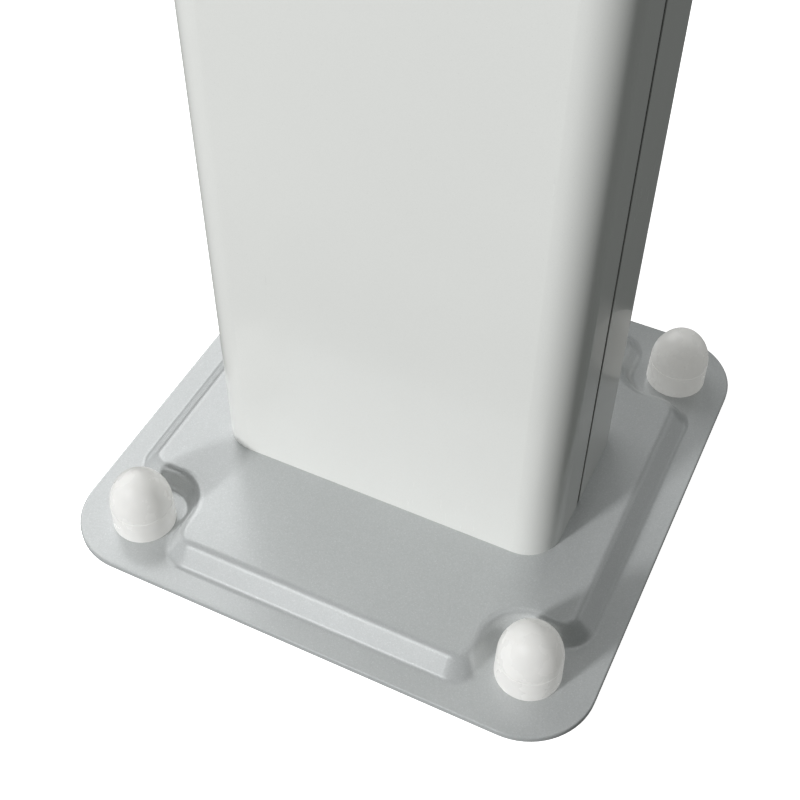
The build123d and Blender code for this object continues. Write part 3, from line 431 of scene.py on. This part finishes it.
def winding_tree():
    """Turns of round wire laid side by side along Y, each a rounded upright loop."""
    t = Tree("winding")
    width = t.input("Width", "NodeSocketFloat", 0.14)
    height = t.input("Height", "NodeSocketFloat", 0.45)
    corner = t.input("Corner", "NodeSocketFloat", 0.015)
    wire = t.input("Wire radius", "NodeSocketFloat", 0.0004)
    turns = t.input("Turns", "NodeSocketInt", 8)
    pitch = t.input("Pitch", "NodeSocketFloat", 0.0008)
    middle = t.input("Middle", "NodeSocketVector", (0.0, 0.0, 0.0))
    material = t.input("Material", "NodeSocketMaterial", None)
    loop = t.node("GeometryNodeCurvePrimitiveQuadrilateral", {}, {"Width": width, "Height": height})
    rounded = t.node("GeometryNodeFilletCurve", {"mode": "POLY"},
                     {"Curve": loop, "Radius": corner, "Count": CORNER_STEPS})
    upright = t.node("GeometryNodeTransform", {},
                     {"Geometry": rounded, "Rotation": (math.radians(90), 0.0, 0.0)})
    ring = t.node("GeometryNodeCurvePrimitiveCircle", {},
                  {"Resolution": WIRE_SIDES, "Radius": wire})
    tube = t.node("GeometryNodeCurveToMesh", {}, {"Curve": upright, "Profile Curve": ring})
    step = t.node("ShaderNodeCombineXYZ", {}, {"Y": pitch})
    row = t.node("GeometryNodeMeshLine", {},
                 {"Count": turns, "Start Location": middle, "Offset": step})
    laid = t.node("GeometryNodeInstanceOnPoints", {}, {"Points": row, "Instance": tube})
    smooth = t.node("GeometryNodeSetShadeSmooth", {}, {"Geometry": laid})
    t.close(smooth, material)
    return t


def block_tree():
    """A grid of small plain blocks standing on an upright board."""
    t = Tree("board_blocks")
    size = t.input("Size", "NodeSocketVector", (0.002, 0.0008, 0.0012))
    columns = t.input("Columns", "NodeSocketInt", 4)
    rows = t.input("Rows", "NodeSocketInt", 3)
    spread_x = t.input("Spread X", "NodeSocketFloat", 0.02)
    spread_z = t.input("Spread Z", "NodeSocketFloat", 0.01)
    middle = t.input("Middle", "NodeSocketVector", (0.0, 0.0, 0.0))
    material = t.input("Material", "NodeSocketMaterial", None)
    block = t.node("GeometryNodeMeshCube", {}, {"Size": size})
    grid = t.node("GeometryNodeMeshGrid", {},
                  {"Size X": spread_x, "Size Y": spread_z, "Vertices X": columns,
                   "Vertices Y": rows})
    upright = t.node("GeometryNodeTransform", {},
                     {"Geometry": grid, "Translation": middle,
                      "Rotation": (math.radians(90), 0.0, 0.0)})
    points = t.node("GeometryNodeMeshToPoints", {}, {"Mesh": upright})
    set_out = t.node("GeometryNodeInstanceOnPoints", {}, {"Points": points, "Instance": block})
    t.close(set_out, material)
    return t


# ---------------------------------------------------------------- settings


class GateCoilSettings(bpy.types.PropertyGroup):
    """The wire of the antennas' coils."""

    wire: FloatProperty(name="Wire", description="Width of the enamelled wire",
                        default=0.8 * MM, min=0.2 * MM, max=2.0 * MM, unit="LENGTH")
    layers: IntProperty(name="Layers", description="How many layers of turns show",
                        default=5, min=1, max=5)
    corner: FloatProperty(name="Corner", description="Outside radius of the coil's corners",
                          default=19 * MM, min=5 * MM, max=60 * MM, unit="LENGTH")


class GateBoardSettings(bpy.types.PropertyGroup):
    """The smallest parts on the controller board."""

    lift: FloatProperty(name="Lift", description="Height of a small part over the board",
                        default=0.7 * MM, min=0.2 * MM, max=2.0 * MM, unit="LENGTH")


class GateStageSettings(bpy.types.PropertyGroup):
    """Camera and floor."""

    lens: FloatProperty(name="Lens", description="Camera focal length in millimetres",
                        default=59.04, min=10.0, max=300.0)
    camera_place: FloatVectorProperty(
        name="Camera place", description="Where the camera stands", size=3,
        default=(0.1747, -0.3914, 0.5128), subtype="TRANSLATION", unit="LENGTH")
    heading: FloatProperty(name="Heading", description="Turn from the front, to the right",
                           default=math.radians(25.70), subtype="ANGLE")
    dip: FloatProperty(name="Dip", description="Angle down from level",
                       default=math.radians(48.14), subtype="ANGLE")
    roll: FloatProperty(name="Roll", description="Turn about the line of sight",
                        default=math.radians(-0.34), subtype="ANGLE")
    shift: FloatProperty(name="Shift", description="Sideways shift as a share of the width",
                         default=0.00625)
    floor_size: FloatProperty(name="Floor", description="Width of the floor", default=24.0,
                              unit="LENGTH")
    floor_colour: FloatVectorProperty(name="Floor colour", description="Colour of the floor",
                                      default=(0.92, 0.92, 0.92), subtype="COLOR")


# ---------------------------------------------------------------- helpers


def settings(name):
    """The scene's settings of that name."""
    return getattr(bpy.context.scene, name)


def corners(obj):
    """The low and high corners of an object, in metres."""
    points = [obj.matrix_world @ vertex.co for vertex in obj.data.vertices]
    low = Vector([min(p[i] for p in points) for i in range(3)])
    high = Vector([max(p[i] for p in points) for i in range(3)])
    return low, high


def finish_for(slot):
    """The finish already given to a node that uses a slot."""
    for part in frame["record"]["subparts"]:
        if part["material_slot"] == slot:
            return frame["nodes"][part["node"]].material_slots[0].material
    raise RuntimeError(f"no part uses {slot}")


def area_light(name, place, target, size, power):
    """Add a soft square light that looks at a point."""
    lamp = bpy.data.lights.new(name, "AREA")
    lamp.shape = "SQUARE"
    lamp.size = size
    lamp.energy = power
    obj = bpy.data.objects.new(name, lamp)
    bpy.context.scene.collection.objects.link(obj)
    obj.location = place
    obj.rotation_euler = (Vector(target) - Vector(place)).to_track_quat("-Z", "Y").to_euler()
    return obj


# ---------------------------------------------------------------- operators


class GATE_OT_finishes(bpy.types.Operator):
    """Give every fixed part its finish"""

    bl_idname = "gate.finishes"
    bl_label = "Finishes"

    def execute(self, context):
        colours = {m["slot"]: m["base_color"] for m in frame["record"]["materials"]}
        made = {slot: RECIPES[slot](tuple(colour[:3])) for slot, colour in colours.items()}
        for part in frame["record"]["subparts"]:
            node = frame["nodes"][part["node"]]
            for place in node.material_slots:
                place.material = made[part["material_slot"]]
        return {"FINISHED"}


class GATE_OT_coils(bpy.types.Operator):
    """Wind each antenna's coil turn by turn"""

    bl_idname = "gate.coils"
    bl_label = "Antenna coils"

    def execute(self, context):
        s = settings("gate_coil")
        tree = winding_tree()
        for node in ("lower_antenna_coil", "upper_antenna_coil"):
            solid = frame["nodes"][node]
            low, high = corners(solid)
            layers = []
            for layer in range(s.layers):
                inset = s.wire * (0.5 + LAYER_STEP * layer)
                nested = layer % 2 * s.wire / 2
                depth = high.y - low.y - s.wire - 2 * nested
                turns = int(depth / s.wire) + 1
                first = (low.y + high.y - (turns - 1) * s.wire) / 2
                middle = Vector(((low.x + high.x) / 2, first, (low.z + high.z) / 2))
                layers.append(grown(f"{node}_layer_{layer}", tree, {
                    "Width": high.x - low.x - 2 * inset, "Height": high.z - low.z - 2 * inset,
                    "Corner": s.corner - inset, "Wire radius": s.wire / 2, "Turns": turns,
                    "Pitch": s.wire, "Middle": middle,
                    "Material": solid.material_slots[0].material}))
            coil = joined(f"{node}_turns", layers)
            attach(coil, solid["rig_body"])
            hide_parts(node)
        return {"FINISHED"}


class GATE_OT_board(bpy.types.Operator):
    """Add the smallest parts to the controller board"""

    bl_idname = "gate.board"
    bl_label = "Board parts"

    def execute(self, context):
        s = settings("gate_board")
        tree = block_tree()
        board = frame["nodes"]["controller_board"]
        low, high = corners(board)
        across = high.x - low.x
        tall = high.z - low.z
        for name, slot, block, count, share, middle_share in BOARD_GROUPS:
            middle = Vector(((low.x + high.x) / 2 + middle_share[0] * across,
                             low.y - s.lift / 2, low.z + middle_share[1] * tall))
            made = grown(f"board_{name}", tree, {
                "Size": (block[0] * MM, s.lift, block[1] * MM), "Columns": count[0],
                "Rows": count[1], "Spread X": share[0] * across, "Spread Z": share[1] * tall,
                "Middle": middle, "Material": finish_for(slot)})
            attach(made, board["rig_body"])
        return {"FINISHED"}


class GATE_OT_stage(bpy.types.Operator):
    """Add the floor, the backdrop, the lights and the camera"""

    bl_idname = "gate.stage"
    bl_label = "Stage"

    def execute(self, context):
        s = settings("gate_stage")
        self.add_floor(s)
        self.add_lights()
        self.add_camera(s)
        return {"FINISHED"}

    def add_floor(self, s):
        mesh = bpy.data.meshes.new("floor")
        half = s.floor_size / 2
        square = [(-half, -half, 0), (half, -half, 0), (half, half, 0), (-half, half, 0)]
        mesh.from_pydata(square, [], [(0, 1, 2, 3)])
        floor = bpy.data.objects.new("floor", mesh)
        bpy.context.scene.collection.objects.link(floor)
        f = Finish("floor_paint")
        patch = f.noise(f.place(), 3.0, 3.0, 0.5)
        base = f.mix(patch, shade(s.floor_colour, 0.99), shade(s.floor_colour, 1.0))
        mesh.materials.append(f.surface(Base_Color=base, Roughness=0.7,
                                        Emission_Color=(1.0, 1.0, 1.0),
                                        Emission_Strength=FLOOR_GLOW))
        floor.visible_diffuse = False
        floor.visible_glossy = False

        dome_mesh = bpy.data.meshes.new("backdrop")
        form = bmesh.new()
        bmesh.ops.create_uvsphere(form, u_segments=48, v_segments=24, radius=half)
        form.to_mesh(dome_mesh)
        form.free()
        dome = bpy.data.objects.new("backdrop", dome_mesh)
        bpy.context.scene.collection.objects.link(dome)
        b = Finish("backdrop_paint")
        dome_mesh.materials.append(b.surface(Base_Color=(0.0, 0.0, 0.0), Roughness=1.0,
                                             Emission_Color=(1.0, 1.0, 1.0),
                                             Emission_Strength=BACKDROP_GLOW))
        for flag in ("visible_diffuse", "visible_glossy", "visible_transmission",
                     "visible_shadow", "visible_volume_scatter"):
            setattr(dome, flag, False)

    def add_lights(self):
        world = bpy.data.worlds.new("room")
        world.use_nodes = True
        background = world.node_tree.nodes["Background"]
        background.inputs["Color"].default_value = ROOM_COLOUR
        background.inputs["Strength"].default_value = ROOM_STRENGTH
        bpy.context.scene.world = world
        for name, *rest in LIGHTS:
            lamp = area_light(name, *rest)
            lamp.visible_glossy = name != "key"

    def add_camera(self, s):
        along = Vector((-math.sin(s.heading) * math.cos(s.dip),
                        math.cos(s.heading) * math.cos(s.dip), -math.sin(s.dip)))
        right = Vector((math.cos(s.heading), math.sin(s.heading), 0.0))
        down = along.cross(right)
        right_rolled = right * math.cos(s.roll) + down * math.sin(s.roll)
        down_rolled = down * math.cos(s.roll) - right * math.sin(s.roll)
        turn = Matrix((right_rolled, -down_rolled, -along)).transposed()
        data = bpy.data.cameras.new("camera")
        data.lens = s.lens
        data.sensor_width = 36.0
        data.shift_x = s.shift
        data.clip_start = 0.01
        data.clip_end = 100.0
        camera = bpy.data.objects.new("camera", data)
        bpy.context.scene.collection.objects.link(camera)
        camera.matrix_world = Matrix.Translation(s.camera_place) @ turn.to_4x4()
        bpy.context.scene.camera = camera
        bpy.context.scene.view_settings.view_transform = "Standard"


class GATE_PT_panel(bpy.types.Panel):
    """The steps of the pedestal's making"""

    bl_idname = "GATE_PT_panel"
    bl_label = "Security gate pedestal"
    bl_space_type = "VIEW_3D"
    bl_region_type = "UI"
    bl_category = "Gate"

    def draw(self, context):
        for step in STEPS:
            self.layout.operator(step.bl_idname)


STEPS = (GATE_OT_finishes, GATE_OT_coils, GATE_OT_board, GATE_OT_stage)
GROUPS = {"gate_coil": GateCoilSettings, "gate_board": GateBoardSettings,
          "gate_stage": GateStageSettings}
CLASSES = (*GROUPS.values(), *STEPS, GATE_PT_panel)


def register():
    for cls in CLASSES:
        bpy.utils.register_class(cls)
    for name, group in GROUPS.items():
        setattr(bpy.types.Scene, name, PointerProperty(type=group))


def unregister():
    for name in GROUPS:
        delattr(bpy.types.Scene, name)
    for cls in reversed(CLASSES):
        bpy.utils.unregister_class(cls)


def main():
    """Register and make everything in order."""
    register()
    for step in STEPS:
        group, name = step.bl_idname.split(".")
        getattr(getattr(bpy.ops, group), name)()


if __name__ == "__main__":
    main()
